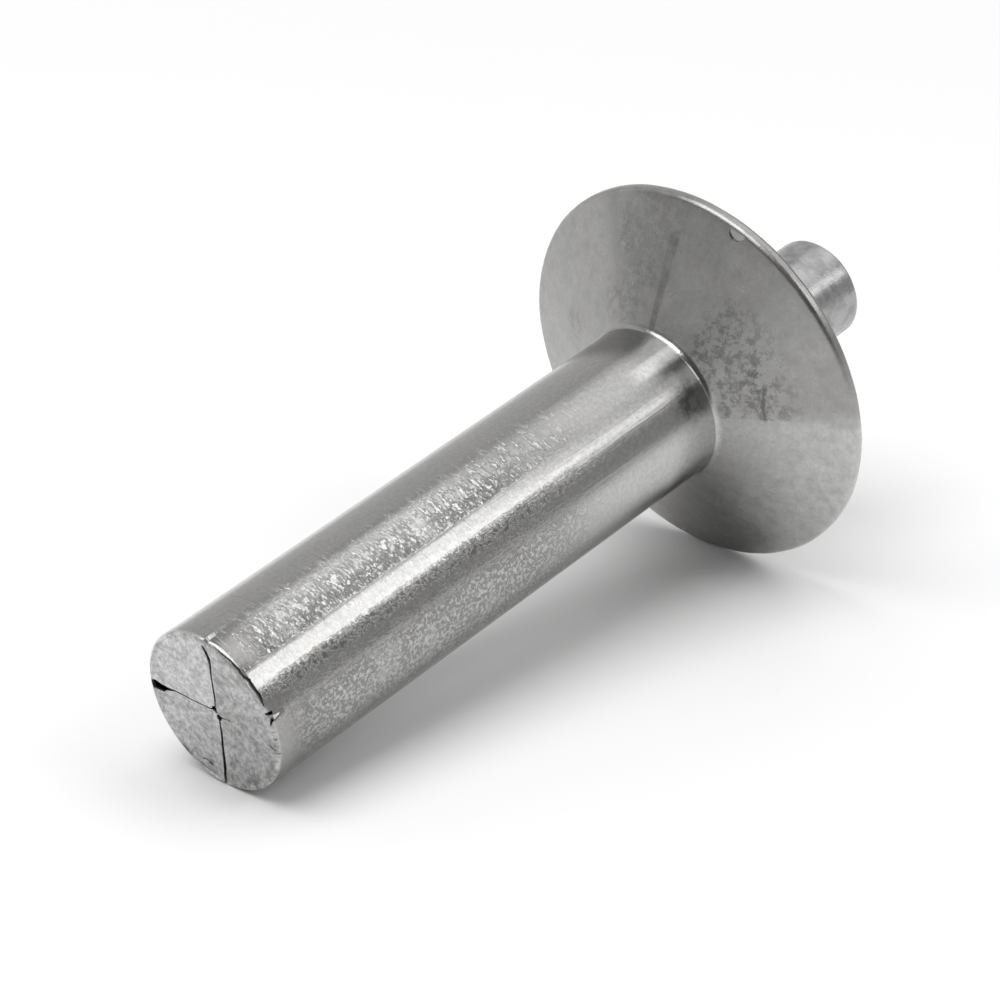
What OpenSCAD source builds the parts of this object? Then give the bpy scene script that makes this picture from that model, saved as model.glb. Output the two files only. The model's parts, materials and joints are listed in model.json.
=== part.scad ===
// Hammer drive rivet: a split aluminium body with a steel drive pin standing proud of its head.
// The rivet lies on its side at rest, on the rim of the head and on the edge of the blind end.
// X runs along the floor from the blind end to the head, and Z is up.

/* [Shank] */
// Diameter of the shank
shank_d = 6.35; // [5.2:0.05:9]
// Length of the straight shank, from the blind end to the cone under the head
shank_len = 23.6; // [14:0.1:60]
// Rounding of the edge of the blind end
blind_edge_r = 0.18; // [0.05:0.01:0.4]
// Fillet where the shank runs into the cone under the head
neck_r = 0.3; // [0.1:0.05:0.8]

/* [Head] */
// Diameter of the head
head_d = 15.9; // [12:0.1:22]
// Height of the cone under the head
cone_h = 2.3; // [1.5:0.1:5]
// Thickness of the straight rim above the cone
rim_t = 0.5; // [0.4:0.05:1.5]
// Rounding of the rim edge on the cone side
rim_edge_r = 0.1; // [0.04:0.01:0.15]
// Rounding of the rim edge on the outer face
face_edge_r = 0.15; // [0.05:0.01:0.2]

/* [Slits] */
// Width of the hairline slits that part the leaves
slit_w = 0.04; // [0.03:0.01:0.2]
// Reach of the slits along the shank, from the blind end
slit_len = 9.6; // [8.6:0.1:13]
// Direction of each slit, in degrees from straight down: bottom, far side, top, near side
slit_turns = [9, 89, 185, 257]; // [0:1:359]
// Diameter of the eye left where the leaf tips meet
eye_d = 0.3; // [0.2:0.05:0.6]
// Place of the eye off the axis: how far below it, and how far to the far side
eye_place = [-0.1, -0.2]; // [-0.5:0.05:0.5]
// Width of the torn mouth of each slit at the shank surface
mouth_widths = [0.2, 0.5, 0.24, 0.22]; // [0.1:0.01:0.8]
// Reach of each torn mouth in from the shank surface
mouth_reaches = [1.5, 1.3, 0.9, 0.5]; // [0.4:0.1:2]
// Depth of each torn mouth along the shank
mouth_depths = [0.8, 1.2, 0.7, 0.9]; // [0.3:0.1:2]

/* [Drive pin] */
// Diameter of the drive pin
pin_d = 4.2; // [3.4:0.05:4.6]
// Length of the drive pin
pin_len = 26; // [16:0.1:26.5]
// How far the pin stands out of the head before it is driven
pin_proud = 7.6; // [3:0.1:8]
// Chamfer of the struck end of the pin
pin_chamfer = 0.22; // [0.1:0.01:0.5]
// Length of the tapered nose at the inner end of the pin
nose_len = 1.4; // [0.5:0.1:3]
// Diameter of the flat on the nose
nose_d = 2.4; // [1.2:0.1:3]
// Gap between the pin and the wall of its bore
bore_gap = 0.02; // [0.01:0.01:0.06]
// Chamfer where the bore opens in the head
bore_chamfer = 0.2; // [0.05:0.05:0.4]

/* [Hidden] */
$fn = 128;

CUT_OVER = 1;

shank_r = shank_d / 2;
head_r = head_d / 2;
bore_r = pin_d / 2 + bore_gap;

// Heights along the axis, from the blind end
cone_top = shank_len + cone_h;
head_top = cone_top + rim_t;
pin_top = head_top + pin_proud;
pin_seat = pin_top - pin_len;

// Angle between the cone and the axis, and the lengths its two blended corners take up
cone_angle = atan2(head_r - shank_r, cone_h);
neck_run = neck_r * tan(cone_angle / 2);
rim_run = rim_edge_r * tan(cone_angle / 2);

// The rivet rests on two rounded edges: these are their centres, as [radius, height]
blind_centre = [shank_r - blind_edge_r, blind_edge_r];
rim_centre = [head_r - rim_edge_r, cone_top + rim_run];
rest_span = rim_centre - blind_centre;
rest_tilt = atan2(rest_span.x, rest_span.y) + asin((rim_edge_r - blind_edge_r) / norm(rest_span));
rest_lift = blind_centre.x * cos(rest_tilt) - blind_centre.y * sin(rest_tilt) + blind_edge_r;

// Ends of the lying rivet along X, which set the middle of its box over the origin
function along(p) = p.x * sin(rest_tilt) + p.y * cos(rest_tilt);
back_end = along([-blind_centre.x, blind_centre.y]) - blind_edge_r;
pin_corner = along([pin_d / 2 - pin_chamfer, pin_top]);
pin_shoulder = along([pin_d / 2, pin_top - pin_chamfer]);
head_corner = along([head_r - face_edge_r, head_top - face_edge_r]) + face_edge_r;
front_end = max(pin_corner, pin_shoulder, head_corner);

// Lays what is built along Z down to its place of rest, with its +X side underneath
module at_rest() {
    translate([-(back_end + front_end) / 2, 0, rest_lift])
        rotate([0, 90 - rest_tilt, 0])
            children();
}

// What a rounding of the given radius takes off an outer corner: the corner less the circle
module corner_waste(corner, centre, r) {
    difference() {
        polygon(corner);
        translate(centre)
            circle(r);
    }
}

// Half outline of the solid body, as radius and height
module body_outline() {
    difference() {
        polygon([
            [0, 0],
            [shank_r, 0],
            [shank_r, shank_len],
            [head_r, cone_top],
            [head_r, head_top],
            [0, head_top]
        ]);
        corner_waste(
            [
                [shank_r - blind_edge_r, -CUT_OVER],
                [shank_r + CUT_OVER, -CUT_OVER],
                [shank_r + CUT_OVER, blind_edge_r],
                blind_centre
            ],
            blind_centre,
            blind_edge_r
        );
        corner_waste(
            [
                rim_centre,
                [head_r - rim_run * sin(cone_angle), cone_top - rim_run * cos(cone_angle)],
                [head_r, cone_top - rim_run],
                [head_r + CUT_OVER, cone_top + rim_run]
            ],
            rim_centre,
            rim_edge_r
        );
        corner_waste(
            [
                [head_r - face_edge_r, head_top - face_edge_r],
                [head_r + CUT_OVER, head_top - face_edge_r],
                [head_r + CUT_OVER, head_top + CUT_OVER],
                [head_r - face_edge_r, head_top + CUT_OVER]
            ],
            [head_r - face_edge_r, head_top - face_edge_r],
            face_edge_r
        );
    }
    neck_fillet();
}

// Metal that fills the corner between the shank and the cone
module neck_fillet() {
    centre = [shank_r + neck_r, shank_len - neck_run];
    difference() {
        polygon([
            [shank_r, shank_len - neck_run],
            centre,
            [shank_r + neck_run * sin(cone_angle), shank_len + neck_run * cos(cone_angle)],
            [shank_r, shank_len]
        ]);
        translate(centre)
            circle(neck_r);
    }
}

// Hole for the pin: straight down from the head, with a seat that fits the nose
module pin_bore() {
    translate([0, 0, pin_seat])
        cylinder(h = nose_len, r1 = nose_d / 2 + bore_gap, r2 = bore_r);
    translate([0, 0, pin_seat + nose_len])
        cylinder(h = head_top - pin_seat - nose_len + CUT_OVER, r = bore_r);
    translate([0, 0, head_top - bore_chamfer])
        cylinder(h = bore_chamfer + CUT_OVER, r1 = bore_r, r2 = bore_r + bore_chamfer + CUT_OVER);
}

// Distance from the eye to the surface of the shank, in the direction of a slit
function eye_to_surface(turn) =
    let(run = eye_place * [cos(turn), sin(turn)])
    sqrt(run ^ 2 + shank_r ^ 2 - eye_place * eye_place) - run;

// One hairline slit, from the eye out through the wall of the shank
module slit(wall) {
    translate([0, -slit_w / 2, -CUT_OVER])
        cube([wall + CUT_OVER, slit_w, slit_len + CUT_OVER]);
}

// Torn mouth of a slit: a wedge that is widest at the surface and at the blind end
module torn_mouth(wall, width, reach, depth) {
    inner = wall - reach;
    outer = wall + CUT_OVER;
    half = width / 2 * (outer - inner) / reach;
    intersection() {
        translate([0, 0, -CUT_OVER])
            linear_extrude(depth + CUT_OVER)
                polygon([[inner, 0], [outer, -half], [outer, half]]);
        rotate([90, 0, 0])
            linear_extrude(2 * half, center = true)
                polygon([[inner, -CUT_OVER], [outer, -CUT_OVER], [outer, depth], [inner, 0]]);
    }
}

// All that parts the leaves: the eye, and a slit with its torn mouth in each direction
module leaf_cuts() {
    translate([0, 0, -CUT_OVER])
        cylinder(h = pin_seat + 2 * CUT_OVER, d = eye_d);
    for (i = [0 : len(slit_turns) - 1])
        rotate([0, 0, slit_turns[i]]) {
            slit(eye_to_surface(slit_turns[i]));
            torn_mouth(eye_to_surface(slit_turns[i]), mouth_widths[i], mouth_reaches[i], mouth_depths[i]);
        }
}

module rivet_body() {
    color([0.72, 0.72, 0.73])
        at_rest()
            difference() {
                rotate_extrude()
                    body_outline();
                pin_bore();
                translate(eye_place)
                    leaf_cuts();
            }
}

module drive_pin() {
    color([0.8, 0.8, 0.82])
        at_rest()
            translate([0, 0, pin_seat]) {
                cylinder(h = nose_len, d1 = nose_d, d2 = pin_d);
                translate([0, 0, nose_len])
                    cylinder(h = pin_len - nose_len - pin_chamfer, d = pin_d);
                translate([0, 0, pin_len - pin_chamfer])
                    cylinder(h = pin_chamfer, d1 = pin_d, d2 = pin_d - 2 * pin_chamfer);
            }
}

rivet_body();
drive_pin();
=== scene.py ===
# %% [markdown]
# # Hammer drive rivet
# A hammer drive rivet is two pieces: a soft aluminium body with a wide countersunk head, whose blind end
# is split into four leaves, and a hard steel pin that stands ready in its bore.
# The imported solids are the frame: they say how big each piece is and where it lies.
# They come in first, their boxes give the sizes, and each is hidden once its dressed piece is laid down.

# %% Load the frame
import json
import math

import bpy
from mathutils import Matrix, Vector


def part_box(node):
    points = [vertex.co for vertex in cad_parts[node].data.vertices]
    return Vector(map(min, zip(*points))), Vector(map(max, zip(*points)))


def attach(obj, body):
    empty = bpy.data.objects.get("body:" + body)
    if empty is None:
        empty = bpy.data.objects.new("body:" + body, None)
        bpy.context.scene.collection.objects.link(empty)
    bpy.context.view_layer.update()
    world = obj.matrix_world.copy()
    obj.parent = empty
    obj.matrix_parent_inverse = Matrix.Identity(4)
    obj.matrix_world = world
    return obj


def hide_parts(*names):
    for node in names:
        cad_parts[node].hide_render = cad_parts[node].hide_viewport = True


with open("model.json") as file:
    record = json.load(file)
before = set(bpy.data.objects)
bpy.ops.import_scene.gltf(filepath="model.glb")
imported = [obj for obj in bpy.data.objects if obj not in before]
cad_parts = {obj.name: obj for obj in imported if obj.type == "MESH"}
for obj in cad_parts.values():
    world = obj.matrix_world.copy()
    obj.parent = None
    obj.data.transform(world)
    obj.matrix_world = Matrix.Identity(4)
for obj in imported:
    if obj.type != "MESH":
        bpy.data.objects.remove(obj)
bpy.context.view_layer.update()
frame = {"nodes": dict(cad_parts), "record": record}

print("nodes:", sorted(frame["nodes"]))

# %% [markdown]
# A rivet is turned about one axis, and this one lies on its side, with that axis leaning a little.
# Modelling on a leaning axis is awkward. It is easier to stand the piece upright on Z with the blind end
# at nought, shape it there in millimetres, and lay it down when it is done. The record's mounts give
# the way of the axis and the middle of the struck end, so nothing has to be guessed.

# %% Sizes, in millimetres, and the way back to the frame
MM = 0.001
mounts = {m["name"]: m for m in frame["record"]["mounts"]}


def half_width(node):
    """Half of a node's width across the axis, which is level, in millimetres."""
    low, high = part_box(node)
    return (high[1] - low[1]) / 2 / MM


SHANK_R = mounts["shank"]["dims"]["r_mm"]
SHANK_LEN = 23.6
BLIND_EDGE_R = 0.18
NECK_R = 0.3
HEAD_R = half_width("rivet_body")
CONE_H = 2.3
RIM_T = 0.5
RIM_EDGE_R = 0.28
FACE_EDGE_R = 0.2
PIN_R = half_width("drive_pin")
PIN_LEN = 26
PIN_PROUD = 7.6
NOSE_LEN = 1.4
NOSE_R = 1.2
BORE_GAP = 0.02
BORE_CHAMFER = 0.2

CONE_TOP = SHANK_LEN + CONE_H
HEAD_TOP = CONE_TOP + RIM_T
PIN_TOP = HEAD_TOP + PIN_PROUD
PIN_SEAT = PIN_TOP - PIN_LEN
CONE_ANGLE = math.atan2(HEAD_R - SHANK_R, CONE_H)

axis = -Vector(mounts["shank"]["axis"])
tilt = math.atan2(axis.z, axis.x)
blind_end = Vector(mounts["struck_end"]["pos_m"]) - axis * PIN_TOP * MM
print(f"head {2 * HEAD_R:.2f} mm, pin {2 * PIN_R:.2f} mm, axis leans {math.degrees(tilt):.2f} degrees")

# %% [markdown]
# ## Working with operators
# An operator acts on all that is selected, so the selection is the tool. By hand, box select and circle
# select do it. In a script, a question put to every vertex does the same, and its answer never changes.
# A new primitive has all of itself selected, so each piece is started with nothing selected.

# %% Selecting by place
def start_piece(name):
    """Names the new primitive, puts its place in its mesh and opens it with nothing selected."""
    piece = bpy.context.active_object
    piece.name = name
    piece.data.name = name
    bpy.ops.object.transform_apply(location=True, rotation=True, scale=True)
    bpy.ops.object.mode_set(mode="EDIT")
    bpy.ops.mesh.select_all(action="DESELECT")
    return piece


def pick(piece, wanted):
    """Selects, in edit mode, the vertices that wanted says yes to."""
    bpy.ops.mesh.select_mode(type="VERT")
    bpy.ops.mesh.select_all(action="DESELECT")
    bpy.ops.object.mode_set(mode="OBJECT")
    for vertex in piece.data.vertices:
        vertex.select = wanted(vertex.co)
    bpy.ops.object.mode_set(mode="EDIT")


def close_up(piece):
    """Turns every face outwards and leaves edit mode."""
    bpy.ops.mesh.select_all(action="SELECT")
    bpy.ops.mesh.normals_make_consistent(inside=False)
    bpy.ops.object.mode_set(mode="OBJECT")


def only(piece):
    """Makes piece the one selected object, so that an operator can't reach another."""
    bpy.ops.object.select_all(action="DESELECT")
    piece.select_set(True)
    bpy.context.view_layer.objects.active = piece


def count(piece):
    """A line that says how large the mesh of a piece is."""
    return f"{piece.name}: {len(piece.data.vertices)} vertices, {len(piece.data.polygons)} faces"


# %% [markdown]
# A finished piece is turned by one matrix, and the turn is then applied, so that its object sits at the
# origin, unturned and unscaled. Patterns on Object coordinates stay where they are that way.

# %% Laying a finished piece down
def lay_down(piece):
    """From upright millimetres to its place in the frame, with the place kept in the mesh."""
    only(piece)
    bpy.ops.object.shade_smooth_by_angle(angle=math.radians(30))
    upright_to_rest = Matrix.Rotation(math.pi / 2 - tilt, 4, "Y") @ Matrix.Scale(MM, 4)
    piece.matrix_world = Matrix.Translation(blind_end) @ upright_to_rest
    bpy.ops.object.transform_apply(location=True, rotation=True, scale=True)
    print(count(piece))


# %% [markdown]
# ## The outline of the body
# The body is turned, so half of its section says it all: each station is a radius and a height. The
# round corners are short arcs, and a formula gives their points, so a change of radius needs no other edit.

# %% Round corners and straight runs of the outline
def arc(centre, radius, first, last, steps=6):
    """Stations along an arc. Angles are in degrees, from straight out towards the head."""
    turns = [math.radians(first + (last - first) * i / steps) for i in range(steps + 1)]
    return [(centre[0] + radius * math.cos(a), centre[1] + radius * math.sin(a)) for a in turns]


def straight(start, end, step):
    """Stations between two points, without the two ends."""
    n = max(1, round(math.dist(start, end) / step))
    return [
        (start[0] + (end[0] - start[0]) * i / n, start[1] + (end[1] - start[1]) * i / n)
        for i in range(1, n)
    ]


# %% Stations from the middle of the blind end round to the bottom of the bore
EYE_DISC = 0.3
FACE_STEP, FLANK_STEP, CONE_STEP = 0.27, 0.6, 0.35
cone_lean = math.degrees(CONE_ANGLE)
neck_run = NECK_R * math.tan(CONE_ANGLE / 2)
rim_run = RIM_EDGE_R * math.tan(CONE_ANGLE / 2)
bore_r = PIN_R + BORE_GAP

blind_edge = arc((SHANK_R - BLIND_EDGE_R, BLIND_EDGE_R), BLIND_EDGE_R, -90, 0)
neck = arc((SHANK_R + NECK_R, SHANK_LEN - neck_run), NECK_R, 180, 180 - cone_lean, 10)
rim_edge = arc((HEAD_R - RIM_EDGE_R, CONE_TOP + rim_run), RIM_EDGE_R, -cone_lean, 0)
face_edge = arc((HEAD_R - FACE_EDGE_R, HEAD_TOP - FACE_EDGE_R), FACE_EDGE_R, 0, 90)
bore_mouth = (bore_r + BORE_CHAMFER, HEAD_TOP)

stations = [(EYE_DISC, 0)] + straight((EYE_DISC, 0), blind_edge[0], FACE_STEP)
stations += blind_edge + straight(blind_edge[-1], neck[0], FLANK_STEP) + neck
stations += straight(neck[-1], rim_edge[0], CONE_STEP) + rim_edge + face_edge
stations += straight(face_edge[-1], bore_mouth, FLANK_STEP)
stations += [bore_mouth, (bore_r, HEAD_TOP - BORE_CHAMFER)]
stations += [(bore_r, PIN_SEAT + NOSE_LEN), (NOSE_R + BORE_GAP, PIN_SEAT)]
print("stations:", len(stations))

# %% [markdown]
# ## The rivet body
# Cold heading makes the real body from one slug of aluminium wire, so it is one piece here too. It could
# be a Screw modifier on the section. Extruding a ring from station to station gives the same form, and
# leaves every ring where it was put, so that dents and leaves can be pushed about later.

# %% Raise the body ring by ring
RING = 256


def grow(stations):
    """Extrudes the selected ring through the stations, and leaves the last one selected."""
    radius, height = stations[0]
    for r, z in stations[1:]:
        bpy.ops.mesh.extrude_region_move(TRANSFORM_OT_translate={"value": (0, 0, z - height)})
        bpy.ops.transform.resize(value=(r / radius, r / radius, 1), center_override=(0, 0, z))
        radius, height = r, z


bpy.ops.object.select_all(action="DESELECT")
bpy.ops.mesh.primitive_circle_add(vertices=RING, radius=EYE_DISC)
body = start_piece("dressed_rivet_body")
bpy.ops.mesh.select_all(action="SELECT")
grow(stations)
bpy.ops.mesh.edge_face_add()
pick(body, lambda co: co.xy.length < EYE_DISC + 0.01 and co.z < 0.01)
bpy.ops.mesh.edge_face_add()
close_up(body)
print(count(body))

# %% [markdown]
# ## Small unevenness
# No pressed surface is as true as a lathe-turned one. A Displace modifier with a cloud texture pushes the
# skin in by a few hundredths of a millimetre, which is enough to make a long reflection waver. Its middle
# level is set so that it only ever pushes inwards, and the rivet stays inside the size it should have.

# %% Push the skin in a little
def waver(piece, name, wanted, size, depth, direction="NORMAL"):
    """Sinks the wanted vertices into the metal by up to depth, in soft patches of the given size."""
    only(piece)
    group = piece.vertex_groups.new(name=name)
    group.add([v.index for v in piece.data.vertices if wanted(v.co)], 1.0, "REPLACE")
    clouds = bpy.data.textures.new(name, "CLOUDS")
    clouds.noise_scale = size
    push = piece.modifiers.new(name, "DISPLACE")
    push.texture = clouds
    push.texture_coords = "LOCAL"
    push.vertex_group = name
    push.direction = direction
    push.strength = depth
    push.mid_level = 0.0 if direction == "Z" else 1.0
    bpy.ops.object.modifier_apply(modifier=push.name)
    piece.vertex_groups.clear()


def well_out_on_head(co):
    """Past the neck, both up the axis and out from it."""
    return co.z > SHANK_LEN + 0.3 and co.xy.length > SHANK_R + 0.5


waver(body, "shank_waver", lambda co: 0.2 < co.z < SHANK_LEN - 0.6, size=1.7, depth=0.01)
waver(body, "head_waver", well_out_on_head, size=1.2, depth=0.03)
waver(body, "face_waver", lambda co: co.z < 0.001, size=1.3, depth=0.09, direction="Z")
print("wavered", count(body))

# %% [markdown]
# ## The split end
# A cross-shaped blade parts the blind end into four leaves, and drawing the shank afterwards closes the
# slits to hairlines that are torn open here and there. A slit that is merely painted on would vanish
# from the side, so each is a real cut: a thin blade is grown along the slit, and a Boolean takes it away.

# %% A blade that follows a line across the blind end
ABOVE = 0.4


def blade(name, stops, depth):
    """A thin upright blade. Each stop says how far below the axis, how far to the far side, how wide."""
    (x, y, width), (next_x, next_y, _) = stops[:2]
    way = math.atan2(next_y - y, next_x - x)
    ahead = Vector((math.cos(way), math.sin(way), 0))
    bpy.ops.object.select_all(action="DESELECT")
    bpy.ops.mesh.primitive_plane_add(size=width, location=(x, y, -ABOVE), rotation=(0, 0, way))
    piece = start_piece(name)
    middle = Vector((x, y, -ABOVE))
    pick(piece, lambda co: (co - middle).dot(ahead) > 0)
    here = middle + ahead * width / 2
    for x, y, wide in stops[1:]:
        there = Vector((x, y, -ABOVE))
        bpy.ops.mesh.extrude_region_move(TRANSFORM_OT_translate={"value": there - here})
        bpy.ops.transform.resize(value=(wide / width,) * 3, center_override=there)
        here, width = there, wide
    bpy.ops.mesh.select_all(action="SELECT")
    bpy.ops.mesh.extrude_region_move(TRANSFORM_OT_translate={"value": (0, 0, ABOVE + depth)})
    close_up(piece)
    return piece


def boolean(piece, tool, operation="DIFFERENCE"):
    """Cuts the tool out of the piece, or joins it on, and throws the tool away."""
    only(piece)
    change = piece.modifiers.new("change", "BOOLEAN")
    change.operation = operation
    change.solver = "EXACT"
    change.object = tool
    bpy.ops.object.modifier_apply(modifier=change.name)
    bpy.data.objects.remove(tool)


# %% The four slits, from the eye outwards: a depth, and the stops of the blade
SLITS = {
    "top_slit": (1.2, [
        (-0.2, -0.13, 0.08), (-0.43, -0.22, 0.05), (-0.89, -0.25, 0.045), (-1.52, -0.27, 0.04),
        (-2.1, -0.37, 0.06), (-2.45, -0.38, 0.13), (-2.72, -0.27, 0.14), (-2.88, -0.15, 0.04),
    ]),
    "far_slit": (1.3, [
        (-0.2, -0.1, 0.06), (-0.15, 0.1, 0.05), (-0.16, 0.91, 0.045), (-0.18, 1.9, 0.06),
        (-0.12, 2.2, 0.13), (-0.1, 2.4, 0.19), (-0.04, 2.55, 0.33), (-0.07, 2.83, 0.4),
        (-0.06, 3.06, 0.36),
    ]),
    "bottom_slit": (1.1, [
        (0.1, -0.3, 0.08), (0.3, -0.29, 0.08), (0.93, -0.19, 0.07), (1.6, -0.1, 0.08),
        (2.38, -0.01, 0.12), (2.7, 0.06, 0.1), (3.05, 0.1, 0.12), (3.35, 0.14, 0.16),
    ]),
    "near_slit": (0.5, [(0.06, -0.32, 0.08), (0.03, -0.6, 0.045), (0.03, -0.92, 0.012)]),
}
for name, (depth, stops) in SLITS.items():
    boolean(body, blade(name, stops, depth))
print("slit", count(body))

# %% [markdown]
# The rest of the blind end is what the tools left behind: the torn eye, the folded lip beside the top
# leaf, a notch where the near slit was smeared shut, and a crack, a nick and some pits.

# %% The marks on the blind end
MARKS = {
    "lip_groove": (0.16, [
        (-3.04, -0.75, 0.03), (-2.87, -1.17, 0.06), (-2.74, -1.5, 0.05), (-2.5, -1.84, 0.1),
        (-2.36, -2.0, 0.08), (-2.18, -2.22, 0.14), (-1.88, -2.48, 0.12), (-1.72, -2.6, 0.14),
        (-1.57, -2.7, 0.1), (-1.33, -2.83, 0.03),
    ]),
    "near_notch": (0.26, [
        (-1.1, -2.8, 0.04), (-1.1, -2.95, 0.13), (-1.16, -3.08, 0.2), (-1.2, -3.3, 0.24),
    ]),
    "near_notch_tail": (0.18, [
        (-0.62, -3.0, 0.02), (-0.8, -3.02, 0.08), (-1.0, -3.06, 0.12), (-1.2, -3.1, 0.1),
    ]),
    "crack": (0.14, [
        (0.3, -2.5, 0.012), (0.35, -2.79, 0.045), (0.45, -2.95, 0.055), (0.52, -3.08, 0.04),
        (0.48, -3.3, 0.03),
    ]),
    "nick": (0.07, [(2.52, 1.22, 0.02), (2.5, 1.0, 0.1), (2.56, 0.72, 0.05)]),
    "scratch": (0.03, [(0.22, -1.45, 0.012), (0.25, -1.62, 0.03), (0.33, -1.9, 0.012)]),
}
for name, (depth, stops) in MARKS.items():
    boolean(body, blade(name, stops, depth))


def pit(x, y, z, radius, stretch_up=1.0):
    """A ball-shaped pit, or with stretch_up a deeper one."""
    bpy.ops.object.select_all(action="DESELECT")
    bpy.ops.mesh.primitive_ico_sphere_add(
        subdivisions=2, radius=radius, location=(x, y, z), scale=(1, 1, stretch_up)
    )
    boolean(body, bpy.context.active_object)


# Where each is, its radius, and how many times deeper than round.
PITS = [
    (-0.22, -0.13, 0, 0.12, 6), (0.09, -0.3, 0, 0.13, 6), (-0.12, -0.2, 0, 0.07, 4),
    (-2.02, 0.38, 0, 0.045), (-2.5, 1.47, 0, 0.04), (-1.84, 1.98, 0, 0.05),
    (-0.41, -3.08, 0.02, 0.05), (-0.12, -3.1, 0.03, 0.07), (-0.72, -3.02, 0, 0.05),
    (2.9, 0.55, 0, 0.05), (2.75, -0.9, 0, 0.04), (1.9, -1.7, 0, 0.03),
]
for place in PITS:
    pit(*place)
print("marked", count(body))

# %% [markdown]
# The leaves don't stand level, because each was pushed aside on its own. Moving the ends of two of them
# in makes a step at the slits, which catches light as the real one does.

# %% Set the leaves at different depths
LEAF_SKIN = 0.19
LEAF_SINK = 0.03
EYE_REACH = 0.6


def side_of_slits(co):
    """Above nought for the near side of the upright slits."""
    line = sorted((x, y) for x, y, _ in SLITS["top_slit"][1] + SLITS["bottom_slit"][1])
    for (x0, y0), (x1, y1) in zip(line, line[1:]):
        if x0 <= co.x <= x1:
            return y0 + (y1 - y0) * (co.x - x0) / max(x1 - x0, 1e-6) - co.y
    return -0.2 - co.y


def set_leaf(wanted, sink):
    """Moves the wanted part of the end's skin up the axis by sink."""
    only(body)
    bpy.ops.object.mode_set(mode="EDIT")
    pick(body, lambda co: co.z < LEAF_SKIN and wanted(co))
    bpy.ops.transform.translate(value=(0, 0, sink))
    bpy.ops.object.mode_set(mode="OBJECT")


set_leaf(lambda co: side_of_slits(co) > 0 and co.xy.length > EYE_REACH, LEAF_SINK)
print("leaves set", count(body))

# %% [markdown]
# Where a slit was closed, a sliver of metal was squeezed up, and a knock raised another on the end face.
# Each grows from a small square, widens a little, and closes to a point. A Boolean union joins it on.

# %% Squeezed-up slivers
def sliver(name, start, turn, steps):
    """Grows a sliver from a small turned square at start. A step is a move and how much it swells."""
    bpy.ops.object.select_all(action="DESELECT")
    bpy.ops.mesh.primitive_plane_add(size=0.05, location=start, rotation=turn)
    made = start_piece(name)
    bpy.ops.mesh.select_all(action="SELECT")
    at = Vector(start)
    for move, swell in steps:
        at = at + Vector(move)
        bpy.ops.mesh.extrude_region_move(TRANSFORM_OT_translate={"value": move})
        bpy.ops.transform.resize(value=swell, center_override=at)
    close_up(made)
    boolean(body, made, "UNION")


QUARTER = math.pi / 4
sliver("flank_sliver", (-3.12, -0.36, 0.04), (0, 0, QUARTER), [
    ((0, 0, 0.08), (3.4, 3.4, 1)), ((-0.01, 0.03, 0.5), (0.9, 0.9, 1)), ((0, 0.06, 0.65), (0.12, 0.12, 1)),
])
sliver("face_sliver", (2.56, 1.26, 0.03), (2 * QUARTER, QUARTER, 0), [
    ((-0.06, -0.15, 0), (2.4, 1, 2.4)), ((-0.02, -0.25, 0), (1, 1, 1)), ((0.08, -0.22, 0), (0.15, 1, 0.15)),
])
print("joined", count(body))

# %% [markdown]
# ## Dings in the rim
# A head this thin at its edge picks up dings in the tumbling drum. Each is the bite of a small coin-shaped
# tool, tilted so that only one side of it digs in, which leaves a crescent.

# %% Bite the rim
def on_cone(radius, turn):
    """A place on the underside of the head. The turn is in degrees, from straight up to the near side."""
    a = math.radians(turn)
    z = SHANK_LEN + (radius - SHANK_R) * CONE_H / (HEAD_R - SHANK_R)
    return Vector((-radius * math.cos(a), -radius * math.sin(a), z))


def bite(radius, turn, size, deep, lean):
    """Presses a coin of the given size into the cone, leaning outwards by lean degrees."""
    a = math.radians(turn)
    out = Vector((-math.cos(a), -math.sin(a), 0))
    slope = CONE_ANGLE + math.radians(lean)
    face = out * math.cos(slope) - Vector((0, 0, math.sin(slope)))
    turned = face.to_track_quat("Z", "Y").to_euler()
    place = on_cone(radius, turn) + face * (size * 0.25 - deep)
    bpy.ops.object.select_all(action="DESELECT")
    bpy.ops.mesh.primitive_cylinder_add(
        vertices=40, radius=size, depth=size * 0.5, location=place, rotation=turned
    )
    boolean(body, bpy.context.active_object)


# How far out, the turn, the size of the coin, its depth and its lean.
BITES = [
    (7.82, 23.5, 0.36, 0.035, 9), (7.9, 37, 0.12, 0.04, -20), (7.93, -16.6, 0.14, 0.04, -25),
    (7.93, 52, 0.1, 0.03, -25), (7.92, 6, 0.09, 0.03, -20), (7.95, 118, 0.12, 0.04, -20),
    (7.93, -100, 0.14, 0.04, -22), (7.94, 160, 0.1, 0.03, -22),
]
for place in BITES:
    bite(*place)
print("bitten", count(body))

# %% Lay the body down
lay_down(body)
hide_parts("rivet_body")
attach(body, "root")

# %% [markdown]
# ## The drive pin
# The pin is cut from bright wire, with a blunt nose that lies deep in the bore and a worn chamfer at the
# struck end. It grows from the nose as the body did, ring by ring.

# %% Grow the pin
PIN_CHAMFER = 0.22
WORN = 0.08

pin_stations = [(NOSE_R, PIN_SEAT), (PIN_R, PIN_SEAT + NOSE_LEN)]
pin_stations += straight(pin_stations[-1], (PIN_R, PIN_TOP - PIN_CHAMFER - WORN), 0.8)
pin_stations += arc((PIN_R - WORN, PIN_TOP - PIN_CHAMFER - WORN), WORN, 0, 45, 3)
chamfer_end = (PIN_R - PIN_CHAMFER - WORN, PIN_TOP)
pin_stations += arc((chamfer_end[0], PIN_TOP - WORN), WORN, 50, 90, 3)
pin_stations += straight(chamfer_end, (0.2, PIN_TOP), 0.25) + [(0.2, PIN_TOP)]

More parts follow.
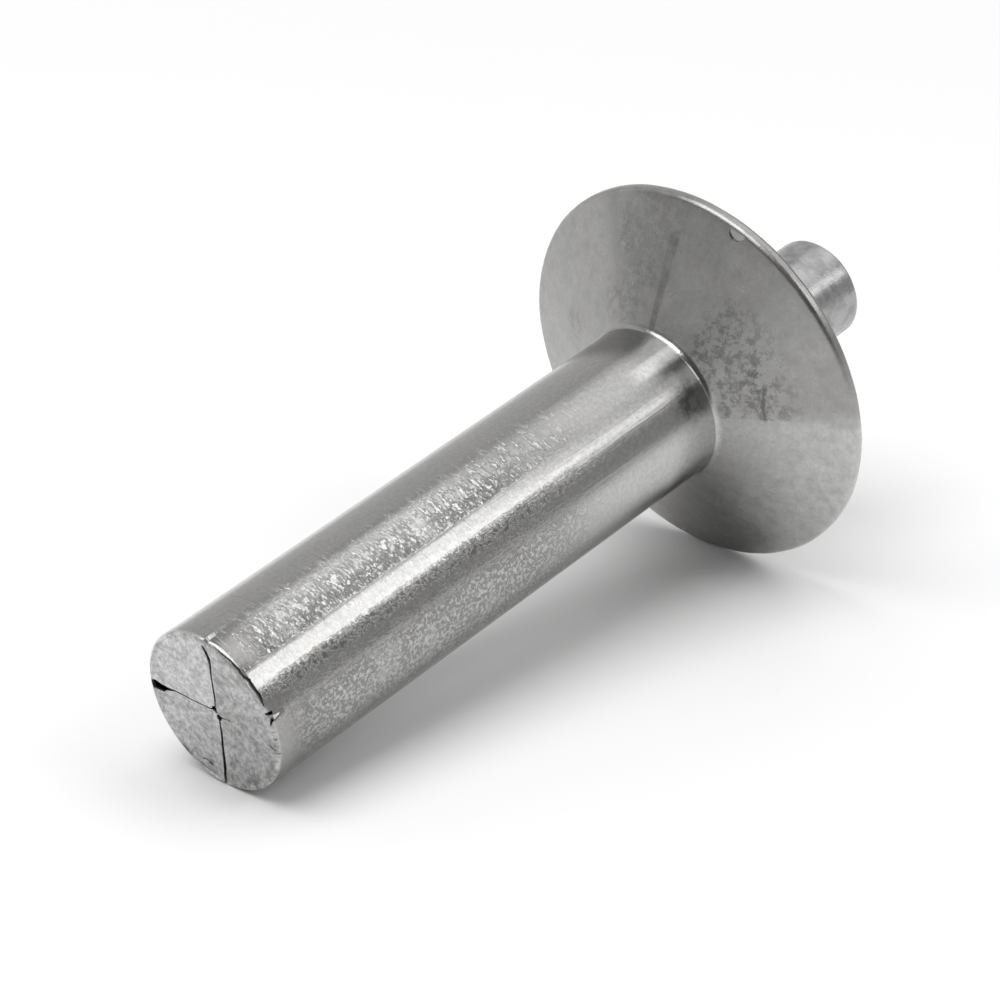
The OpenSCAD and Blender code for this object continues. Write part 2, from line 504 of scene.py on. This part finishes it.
bpy.ops.object.select_all(action="DESELECT")
bpy.ops.mesh.primitive_circle_add(vertices=RING // 2, radius=NOSE_R, location=(0, 0, PIN_SEAT))
pin = start_piece("dressed_drive_pin")
bpy.ops.mesh.select_all(action="SELECT")
grow(pin_stations)
bpy.ops.mesh.edge_face_add()
pick(pin, lambda co: co.z < PIN_SEAT + 0.01)
bpy.ops.mesh.edge_face_add()
close_up(pin)
waver(pin, "pin_waver", lambda co: co.z > HEAD_TOP, size=0.9, depth=0.012)
lay_down(pin)
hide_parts("drive_pin")
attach(pin, "root")

# %% [markdown]
# ## Finishes
# A finish is a tree of nodes: noise and masks go in, and a colour, a roughness and a height come out.
# All of them read Object coordinates, turned by a Mapping node into the rivet's own: millimetres, with Z
# along the axis from the blind end. So a number in a pattern is a size on the rivet.
# Nodes written out one by one make long code. Each helper below adds its node to whatever tree is at the
# time, and gives back the output, so that a mask reads as one line.

# %% Short ways to add a node
def plug(socket, value):
    """Links another node's output to a socket, or sets a plain value on it."""
    if isinstance(value, bpy.types.NodeSocket):
        tree.links.new(value, socket)
    else:
        socket.default_value = value


def node(kind, settings=None, **sockets):
    """Adds a node, with its settings and its sockets."""
    made = tree.nodes.new(kind)
    for name, value in (settings or {}).items():
        setattr(made, name, value)
    for name, value in sockets.items():
        plug(made.inputs[name.replace("_", " ")], value)
    return made


def calc(operation, *values):
    """One step of arithmetic on numbers."""
    made = node("ShaderNodeMath", {"operation": operation})
    for socket, value in zip(made.inputs, values):
        plug(socket, value)
    return made.outputs[0]


def vector_calc(operation, *values):
    """One step of arithmetic on places and directions. Some of them end in a number."""
    made = node("ShaderNodeVectorMath", {"operation": operation})
    for socket, value in zip(made.inputs, values):
        plug(socket, value)
    return made.outputs["Value" if operation in ("LENGTH", "DISTANCE", "DOT_PRODUCT") else "Vector"]


# %% Patterns and colours
def stretch(at, by):
    """Scales the coordinates, so that a pattern comes out long where by is small."""
    return vector_calc("MULTIPLY", at, by)


def noise(at, scale, detail=3.0, roughness=0.6, distortion=0.0):
    """Clouds, mostly between 0.3 and 0.7. A larger scale makes them finer."""
    made = node(
        "ShaderNodeTexNoise",
        Vector=at, Scale=scale, Detail=detail, Roughness=roughness, Distortion=distortion,
    )
    return made.outputs[0]


def fade(value, start, end, low=0.0, high=1.0):
    """Runs smoothly from low to high as value goes from start to end."""
    made = node(
        "ShaderNodeMapRange", {"interpolation_type": "SMOOTHSTEP"},
        Value=value, From_Min=start, From_Max=end, To_Min=low, To_Max=high,
    )
    return made.outputs["Result"]


def mix(factor, first, second):
    """The first colour where factor is nought, and the second where it is one."""
    made = node("ShaderNodeMix", {"data_type": "RGBA"}, Factor=factor, A=first, B=second)
    return made.outputs["Result"]


# %% Putting masks together
def chain(operation, values):
    """Takes the values one after the other into the same operation."""
    found = values[0]
    for value in values[1:]:
        found = calc(operation, found, value)
    return found


def times(*values):
    """The product of several masks."""
    return chain("MULTIPLY", values)


def total(*values):
    """The sum of several masks."""
    return chain("ADD", values)


def most(*values):
    """The largest of several masks."""
    return chain("MAXIMUM", values)


def without(value, mask, share=1.0):
    """Takes share of the value away where the mask is one."""
    return times(value, calc("SUBTRACT", 1.0, times(mask, share)))


# %% A new metal, and how it is put on a piece
MICROMETRE = 1e-6


def new_metal(name):
    """A material that is metal all over."""
    mat = bpy.data.materials.new(name)
    mat.use_nodes = True
    mat.node_tree.nodes["Principled BSDF"].inputs["Metallic"].default_value = 1.0
    return mat


def own_coordinates():
    """Upright millimetres, the radius from the axis, and the height above the blind end."""
    own = node(
        "ShaderNodeMapping", {"vector_type": "TEXTURE"}, Vector=node("ShaderNodeTexCoord").outputs["Object"],
        Location=blind_end, Rotation=(0, math.pi / 2 - tilt, 0), Scale=(MM, MM, MM),
    ).outputs[0]
    radius = vector_calc("LENGTH", stretch(own, (1, 1, 0)))
    return own, radius, node("ShaderNodeSeparateXYZ", Vector=own).outputs["Z"]


def emboss(heights):
    """Bumps the surface by heights in micrometres."""
    relief = node("ShaderNodeBump", Strength=1.0, Distance=MICROMETRE, Height=heights)
    plug(shader.inputs["Normal"], relief.outputs["Normal"])


def so_far(step):
    """Says how many nodes the tree has after a step."""
    print(f"{step}: {len(tree.nodes)} nodes so far")


def wear(piece, mat):
    """Puts one material on a piece, in place of what it had."""
    piece.data.materials.clear()
    piece.data.materials.append(mat)
    print(f"{piece.name} wears {mat.name}, {len(mat.node_tree.nodes)} nodes")


# %% [markdown]
# ### Aluminium
# One metal, but each part of the body met another tool. The shank was rolled between toothed dies, which
# left short crosswise marks in bands. A strip between them was burnished, a band beside it carries a
# painted reflection, and towards the head the fine lines of the drawn wire still show. The cone was pressed
# in a worn die. It is stained and scuffed up to a sharp edge, and its bottom carries a painted reflection.
# The leaves' ends are sheared and dull, and two of them carry painted shade.
# All this could be painted on an image. Masks that know the height along the axis and the turn round it
# do the same, and stay sharp however near the camera comes.

# %% Where each finish lies
alloy = new_metal("tumbled_aluminium")
tree = alloy.node_tree
shader = tree.nodes["Principled BSDF"]
own, radius, height = own_coordinates()

on_face = fade(height, 0.22, 0.08)
on_head = fade(height, SHANK_LEN - 0.15, SHANK_LEN + 0.15)
on_flank = calc("SUBTRACT", 1.0, total(on_face, on_head))
so_far("places")

# %% The way round the axis, as a direction, and the two ways across
across = node("ShaderNodeSeparateXYZ", Vector=own)
down_way = across.outputs["X"]
far_way = across.outputs["Y"]
around = vector_calc("NORMALIZE", stretch(own, (1, 1, 0)))


def sector(middle, core, edge):
    """One within core degrees of the middle, nought past edge. From straight up to the near side."""
    a = math.radians(middle)
    turn = vector_calc("DOT_PRODUCT", around, (-math.cos(a), -math.sin(a), 0))
    return fade(turn, math.cos(math.radians(edge)), math.cos(math.radians(core)))


def near_to(place, reach):
    """A soft round spot: one at place, and nought past reach."""
    return fade(vector_calc("DISTANCE", own, place), reach, reach * 0.3)


# %% The patterns, from long strokes to fine grain
strokes = noise(stretch(own, (2.0, 2.0, 6.0)), 1.0, 2.0, 0.5, 0.3)
lines = noise(stretch(own, (8.0, 8.0, 0.25)), 1.0, 3.0, 0.7)
scratches = noise(stretch(own, (0.7, 0.7, 16.0)), 1.0, 2.0, 0.6, 0.4)
ragged = noise(stretch(own, (2.5, 2.5, 5.0)), 1.0, 3.0)
spokes = noise(stretch(around, (2.5, 2.5, 1)), 1.0, 6.0, 0.65)
mottle = noise(own, 1.8, 8.0, 0.75)
blotches = noise(own, 2.4, 10.0, 0.8)
fine = noise(own, 6.0, 8.0, 0.75)
grain = noise(own, 7.0, 3.0, 0.65, 0.6)
so_far("patterns")

# %% [markdown]
# The marks of the dies start near the blind end and thin out towards the head. They miss the top of the
# shank and a line on the near side, and the burnished strip has rubbed them away along a ragged edge.
# Three bands of strong strokes lie between: one on the near side, one underneath and one at the back.

# %% Where the rolling dies marked the shank
BURNISHED_AT = 45.5
near_band = sector(26, 12, 32)
under_band = sector(160, 25, 55)
back_band = sector(-105, 25, 55)
bands = most(near_band, under_band, back_band)

patchy = fade(noise(own, 0.5, 2.0), 0.3, 0.5, 0.5, 1.0)
marked = times(fade(height, 20.0, 12.0), fade(height, 0.4, 1.6, 0.3, 1.0), patchy, on_flank)
marked = without(marked, sector(-20, 18, 36), 0.85)
marked = without(marked, sector(69, 4, 8), 0.75)
burnished = fade(calc("MULTIPLY_ADD", ragged, 1.1, sector(BURNISHED_AT, 1, 9)), 0.98, 1.12)
marked = without(marked, burnished, 0.9)

hairlines = times(fade(scratches, 0.6, 0.68), fade(height, 17.0, 11.0), on_flank)
hairlines = without(hairlines, sector(BURNISHED_AT, 5, 10), 0.8)
so_far("marks of the dies")

# %% How high they stand, in micrometres
STROKE = 16.0
GRAIN, GRAINY_SIDE = 3.0, 9.0
LINES_LOW, LINES_BY_HEAD = 2.0, 6.5
SCRATCH = -1.5
SHEARED_GRAIN = 18.0
DIE_GRAIN = 9.0

raised = times(fade(strokes, 0.565, 0.6), bands)
grainy_side = most(sector(100, 30, 50), sector(32, 2, 7))
grains = times(fade(grain, 0.44, 0.56), calc("MULTIPLY_ADD", grainy_side, GRAINY_SIDE, GRAIN))
rolled = times(total(times(raised, STROKE), grains), marked)
drawn = total(times(lines, fade(height, 8.0, 15.0, LINES_LOW, LINES_BY_HEAD)), times(hairlines, SCRATCH))
emboss(total(
    rolled, times(drawn, on_flank), times(fine, SHEARED_GRAIN, on_face), times(fine, DIE_GRAIN, on_head),
))
so_far("heights")

# %% [markdown]
# The cone has a history of its own: a scuff with a sharp edge, a long score, the line of a tool and old
# stains on the upper half. Each is a small mask, and the darkest of them wins at every place, so that
# two that overlap don't turn black.

# %% The scuff, the darker top and the clean place below them
scuff_edge = fade(down_way, -0.2, -0.3)
scuff = times(sector(66, 26, 44), fade(radius, 7.3, 5.0), scuff_edge)
scuff = times(scuff, calc("MULTIPLY_ADD", fade(blotches, 0.54, 0.44), 0.78, 0.2))
# The top of the cone next to the shank is darker, in mottled patches.
dark_top = times(sector(-8, 8, 26), fade(radius, 3.4, 5.0), fade(mottle, 0.7, 0.4))
clean = times(near_to((0.6, -4.2, 24.1), 2.0), calc("SUBTRACT", 1.0, scuff_edge))

# %% The score, the tool line and the stains
SCORE_AT = 4.57
off_score = calc("ABSOLUTE", total(calc("MULTIPLY_ADD", mottle, 0.5, far_way), SCORE_AT))
score = times(fade(off_score, 0.09, 0.03), fade(down_way, -2.0, -1.5), fade(down_way, 1.3, -0.6))
scored = times(near_to((-2.0, -4.6, 24.4), 1.4), fade(blotches, 0.5, 0.42))
tool_line = times(sector(4.3, 1.4, 3.0), fade(radius, 7.4, 6.4), fade(mottle, 0.62, 0.42, 0.5, 1.0))
old_stains = most(
    near_to((-4.0, 1.3, 24.1), 1.9), near_to((-6.2, 1.7, 25.1), 1.7),
    near_to((-1.8, 4.4, 24.4), 1.1), near_to((-5.2, 0.6, 24.6), 1.6),
)

# %% How dark each of them is
stained = most(
    times(scuff, 0.75), times(dark_top, 0.42), times(score, 0.9), times(scored, 0.9), times(tool_line, 0.65),
    times(old_stains, fade(blotches, 0.66, 0.38), 0.6),
    times(fade(spokes, 0.54, 0.38), sector(-50, 55, 75), 0.35),
    times(fade(mottle, 0.68, 0.34), 0.3),
)
below_rim = fade(height, CONE_TOP + 0.3, CONE_TOP + 0.1, 0.3, 1.0)
stained = times(without(stained, clean, 0.8), below_rim, on_head)
# A darker patch on the shank by the neck, on the near side.
neck_patch = times(near_to((-1.45, -2.83, 22.6), 1.3), fade(mottle, 0.6, 0.4), on_flank)
so_far("stains")

# %% [markdown]
# The colour carries painted light. On the plain metal go painted highlights on the tops of the strokes,
# painted reflections along two bands of the shank and on the bottom of the cone, and a painted glint by the
# neck. Last come painted shade in the hollows of the grain and on two leaves, painted shadows at the feet of
# the strokes, and the stains, scratches and marks.

# %% Dark: painted shade and painted shadows, with the stains
# Painted shade in the hollows of the grain on the marked shank, strongest on the lower near flank and in the
# bands.
grain_shade_share = total(
    most(sector(100, 22, 32), times(bands, 0.5)), most(times(sector(34, 4, 9), 0.75), sector(58, 3, 8)),
)
grain_shade = times(fade(grain, 0.52, 0.47), marked, calc("MULTIPLY_ADD", grain_shade_share, 0.55, 0.1))
# Painted shadows at the feet of the raised strokes, in the three bands.
stroke_shadow_share = most(times(sector(31, 9, 21), 0.68), times(under_band, 0.4), times(back_band, 0.4))
stroke_shadows = times(fade(strokes, 0.44, 0.5), without(marked, raised), stroke_shadow_share)
tumbled = times(fade(fine, 0.58, 0.42), 0.2)

# Painted shade: the ends of the lower leaves and of the near leaves are darker, as if they caught less
# light. The grit and the pits are the metal's own.
leaves = total(fade(down_way, -0.2, 0.0, 0.0, 0.12), fade(far_way, -0.2, -0.35, 0.0, 0.15))
grit = total(fade(mottle, 0.62, 0.38, 0.0, 0.32), fade(fine, 0.56, 0.44, 0.0, 0.3))
pits_and_leaf_shade = times(most(total(leaves, grit), fade(grain, 0.33, 0.27)), on_face)
dark = most(grain_shade, stroke_shadows, stained, pits_and_leaf_shade, times(hairlines, 0.35), times(neck_patch, 0.8), tumbled)

# %% Bright: painted highlights, painted reflections and a painted glint
# Painted reflection: the lower near part of the cone is lighter, more so towards the rim.
cone_reflection = times(sector(108, 22, 62), fade(down_way, -1.0, 0.3), fade(mottle, 0.34, 0.6, 0.8, 1.0))
cone_reflection = times(cone_reflection, fade(radius, 3.4, 6.4, 0.35, 0.95), on_head)
# Painted reflections: a band on the upper near side of the shank, strongest towards the blind end, and a
# band lower on the near side. A painted glint on the shank by the neck.
band_reflection = times(sector(24, 12, 18), fade(height, 16.0, 9.0, 0.1, 1.0), 0.62)
neck_glint = times(sector(28, 2, 8), fade(height, 20.4, 22.4), 0.9)
floor_reflection = times(sector(94, 8, 22), 0.35)
painted_sheen = times(most(band_reflection, neck_glint, floor_reflection), fade(height, 0.6, 3.0), on_flank)
# Painted highlights on the tops of the raised strokes, strongest in the near band.
stroke_highlights = times(raised, marked, calc("MULTIPLY_ADD", near_band, 0.45, 0.5))
# All the painted light together: the stroke highlights, the painted reflection on the cone at half strength,
# and the painted reflections and glint on the shank.
painted_light = most(stroke_highlights, times(cone_reflection, 0.5), painted_sheen)
so_far("stains_and_painted_shade and polish")

# %% Colour
WARM_METAL = (0.385, 0.378, 0.37, 1)
COOL_METAL = (0.372, 0.376, 0.368, 1)
SHEARED_METAL = (0.72, 0.725, 0.72, 1)
# The colour of the painted highlights and painted reflections, and below it that of painted shade and of the
# stains alike.
HIGHLIGHT_METAL = (0.8, 0.8, 0.79, 1)
DARK_METAL = (0.13, 0.13, 0.126, 1)

tone = mix(fade(noise(own, 0.4, 3.0), 0.4, 0.6), WARM_METAL, COOL_METAL)
tone = mix(on_face, tone, SHEARED_METAL)
tone = mix(painted_light, tone, HIGHLIGHT_METAL)
tone = mix(dark, tone, DARK_METAL)
plug(shader.inputs["Base Color"], tone)

# %% Roughness: least on the shank, more by the head, most on the sheared ends
ROUGHER_FACE = 0.25
ROUGHER_BY_HEAD = 0.07
ROUGHER_HEAD = 0.1

rough = total(
    fade(noise(own, 2.2, 4.0, 0.7), 0.3, 0.7, 0.1, 0.16), times(on_face, ROUGHER_FACE),
    times(fade(height, 9, 18), ROUGHER_BY_HEAD), times(on_head, ROUGHER_HEAD),
)
plug(shader.inputs["Roughness"], rough)
wear(body, alloy)

# %% [markdown]
# ### Pin steel
# Drawn wire keeps fine lines along its length, and it is plated, so it is a little cooler in colour than
# the aluminium. Its struck end was cropped, and is grainier. Two greys in soft patches keep a plain
# cylinder from looking like a drawing of one.

# %% The pin's finish
BRIGHT_STEEL = (0.4, 0.4, 0.405, 1)
DULL_STEEL = (0.29, 0.29, 0.292, 1)
WIRE_GRAIN, MORE_ON_END = 5.0, 4.0

steel = new_metal("plated_steel")
tree = steel.node_tree
shader = tree.nodes["Principled BSDF"]
own, _, height = own_coordinates()

on_end = fade(height, PIN_TOP - 0.05, PIN_TOP - 0.01)
lines = noise(stretch(own, (6.0, 6.0, 0.3)), 1.0, 3.0, 0.7)
grain = noise(own, 5.0, 6.0, 0.75)
emboss(times(total(lines, grain), calc("MULTIPLY_ADD", on_end, MORE_ON_END, WIRE_GRAIN)))
plug(shader.inputs["Base Color"], mix(fade(noise(own, 1.5, 3.0), 0.4, 0.65), BRIGHT_STEEL, DULL_STEEL))
plug(shader.inputs["Roughness"], fade(grain, 0.3, 0.7, 0.2, 0.32))
wear(pin, steel)

# %% [markdown]
# ## Floor, light and camera
# The rivet lies on a large sheet of white paper. A real sheet is never quite white, and more light would
# burn the metal out, so the paper is pale grey to the light that it passes on, and white to whatever
# looks at it: the camera, and the metal that mirrors it. It still takes the rivet's shadow.

# %% A floor of white paper
FLOOR_SIZE = 4.0
PAPER = (0.82, 0.82, 0.82, 1)
WHITE = (1, 1, 1, 1)

bpy.ops.object.select_all(action="DESELECT")
bpy.ops.mesh.primitive_plane_add(size=FLOOR_SIZE, location=(0, 0, 0))
floor = bpy.context.active_object
floor.name = "floor"

paper = bpy.data.materials.new("white_paper")
paper.use_nodes = True
tree = paper.node_tree
shader = tree.nodes["Principled BSDF"]
shader.inputs["Roughness"].default_value = 0.9
shader.inputs["Specular IOR Level"].default_value = 0.0

rays = node("ShaderNodeLightPath").outputs
seen = most(rays["Is Camera Ray"], rays["Is Glossy Ray"], rays["Is Transmission Ray"])
plug(shader.inputs["Base Color"], mix(seen, PAPER, WHITE))

# %% Far off, the paper is plain white
SHADED_TO = 0.04
PLAIN_FROM = 0.14

away = vector_calc("LENGTH", node("ShaderNodeTexCoord").outputs["Object"])
glow = node("ShaderNodeEmission", Color=WHITE, Strength=1.0)
either = node("ShaderNodeMixShader", Fac=times(fade(away, SHADED_TO, PLAIN_FROM), seen))
plug(either.inputs[1], shader.outputs["BSDF"])
plug(either.inputs[2], glow.outputs["Emission"])
plug(tree.nodes["Material Output"].inputs["Surface"], either.outputs["Shader"])
wear(floor, paper)

# %% [markdown]
# Metal shows what stands round it, and little else, so the room matters more than the lamps. A world of
# one colour would make the shank flat. Four soft patches on a dark ground give it light and dark bands:
# a window behind, the ceiling, and two pale walls. The camera itself sees plain white.

# %% A soft room round it
def toward(azimuth, elevation):
    """A direction. Azimuth runs from +Y towards +X, and both are in degrees."""
    a, e = math.radians(azimuth), math.radians(elevation)
    return Vector((math.sin(a) * math.cos(e), math.cos(a) * math.cos(e), math.sin(e)))


def soft_wall(azimuth, elevation, edge, core, strength):
    """A soft round patch of light: full within core degrees of its middle, none past edge degrees."""
    along = vector_calc("DOT_PRODUCT", looking, toward(azimuth, elevation))
    return fade(along, math.cos(math.radians(edge)), math.cos(math.radians(core)), 0.0, strength)


# Azimuth, elevation, edge, core and strength of each.
WALLS = {
    "window": (18, 8, 64, 38, 0.64),
    "overhead": (96, 60, 32, 9, 1.28),
    "near": (140, 8, 45, 20, 0.36),
    "left": (-52, 0, 55, 20, 0.28),
}
DARK_SIDE = 0.12

world = bpy.data.worlds.new("soft_studio")
bpy.context.scene.world = world
world.use_nodes = True
tree = world.node_tree
looking = node("ShaderNodeTexCoord").outputs["Generated"]
light = total(DARK_SIDE, *[soft_wall(*wall) for wall in WALLS.values()])
by_camera = node("ShaderNodeLightPath").outputs["Is Camera Ray"]
sky = tree.nodes["Background"]
sky.inputs["Color"].default_value = WHITE
plug(sky.inputs["Strength"], node("ShaderNodeMix", Factor=by_camera, A=light, B=1.0).outputs["Result"])
print("walls:", len(WALLS))

# %% [markdown]
# Two long softboxes from the front draw the strip of light along the shank, one for each half of it, and
# a wide one above the blind end makes the soft shadow. A lamp's energy grows with its size, so each is
# given as a radiance, and a change of size leaves its reflection as bright as it was.

# %% Lamps
def softbox(name, azimuth, elevation, distance, wide, long, radiance, roll):
    """A rectangular lamp that faces the origin, rolled about its own middle by roll degrees."""
    data = bpy.data.lights.new(name, "AREA")
    data.shape = "RECTANGLE"
    data.size = wide
    data.size_y = long
    data.energy = radiance * math.pi * wide * long
    lamp = bpy.data.objects.new(name, data)
    bpy.context.scene.collection.objects.link(lamp)
    lamp.location = toward(azimuth, elevation) * distance
    facing = (-toward(azimuth, elevation)).to_track_quat("-Z", "Y").to_matrix()
    lamp.rotation_euler = (facing @ Matrix.Rotation(math.radians(roll), 3, "Z")).to_euler()
    print(f"{name}: {data.energy:.3f} W")


# Azimuth, elevation, distance, width, length, radiance and roll of each.
LAMPS = {
    "strip_light": (156.6, 44.5, 0.4, 0.17, 0.16, 2.3, -13),
    "strip_tail": (129.4, 33, 0.42, 0.19, 0.075, 1.8, -18.5),
    "top_light": (-75, 70, 0.4, 0.32, 0.32, 3.1, 0),
}
for name, settings in LAMPS.items():
    softbox(name, *settings)

# %% [markdown]
# The camera stands off to the blind end's side and looks down a little, so that the split end, the shank
# and the underside of the head all show. A long lens keeps so small a thing from looking bent.

# %% Camera
LENS = 118.62
SENSOR = 36
NEAREST = 0.01
STANDS_AT = Vector((-82.78, -74.62, 57.17)) * MM
LOOKS_AT = Vector((-2.093, 0, 6.197)) * MM

camera_data = bpy.data.cameras.new("camera")
camera_data.lens = LENS
camera_data.sensor_width = SENSOR
camera_data.clip_start = NEAREST
camera = bpy.data.objects.new("camera", camera_data)
bpy.context.scene.collection.objects.link(camera)
camera.location = STANDS_AT
camera.rotation_euler = (LOOKS_AT - STANDS_AT).to_track_quat("-Z", "Y").to_euler()
bpy.context.scene.camera = camera
bpy.context.scene.view_settings.view_transform = "Standard"
print(f"camera {(LOOKS_AT - STANDS_AT).length / MM:.0f} mm off")
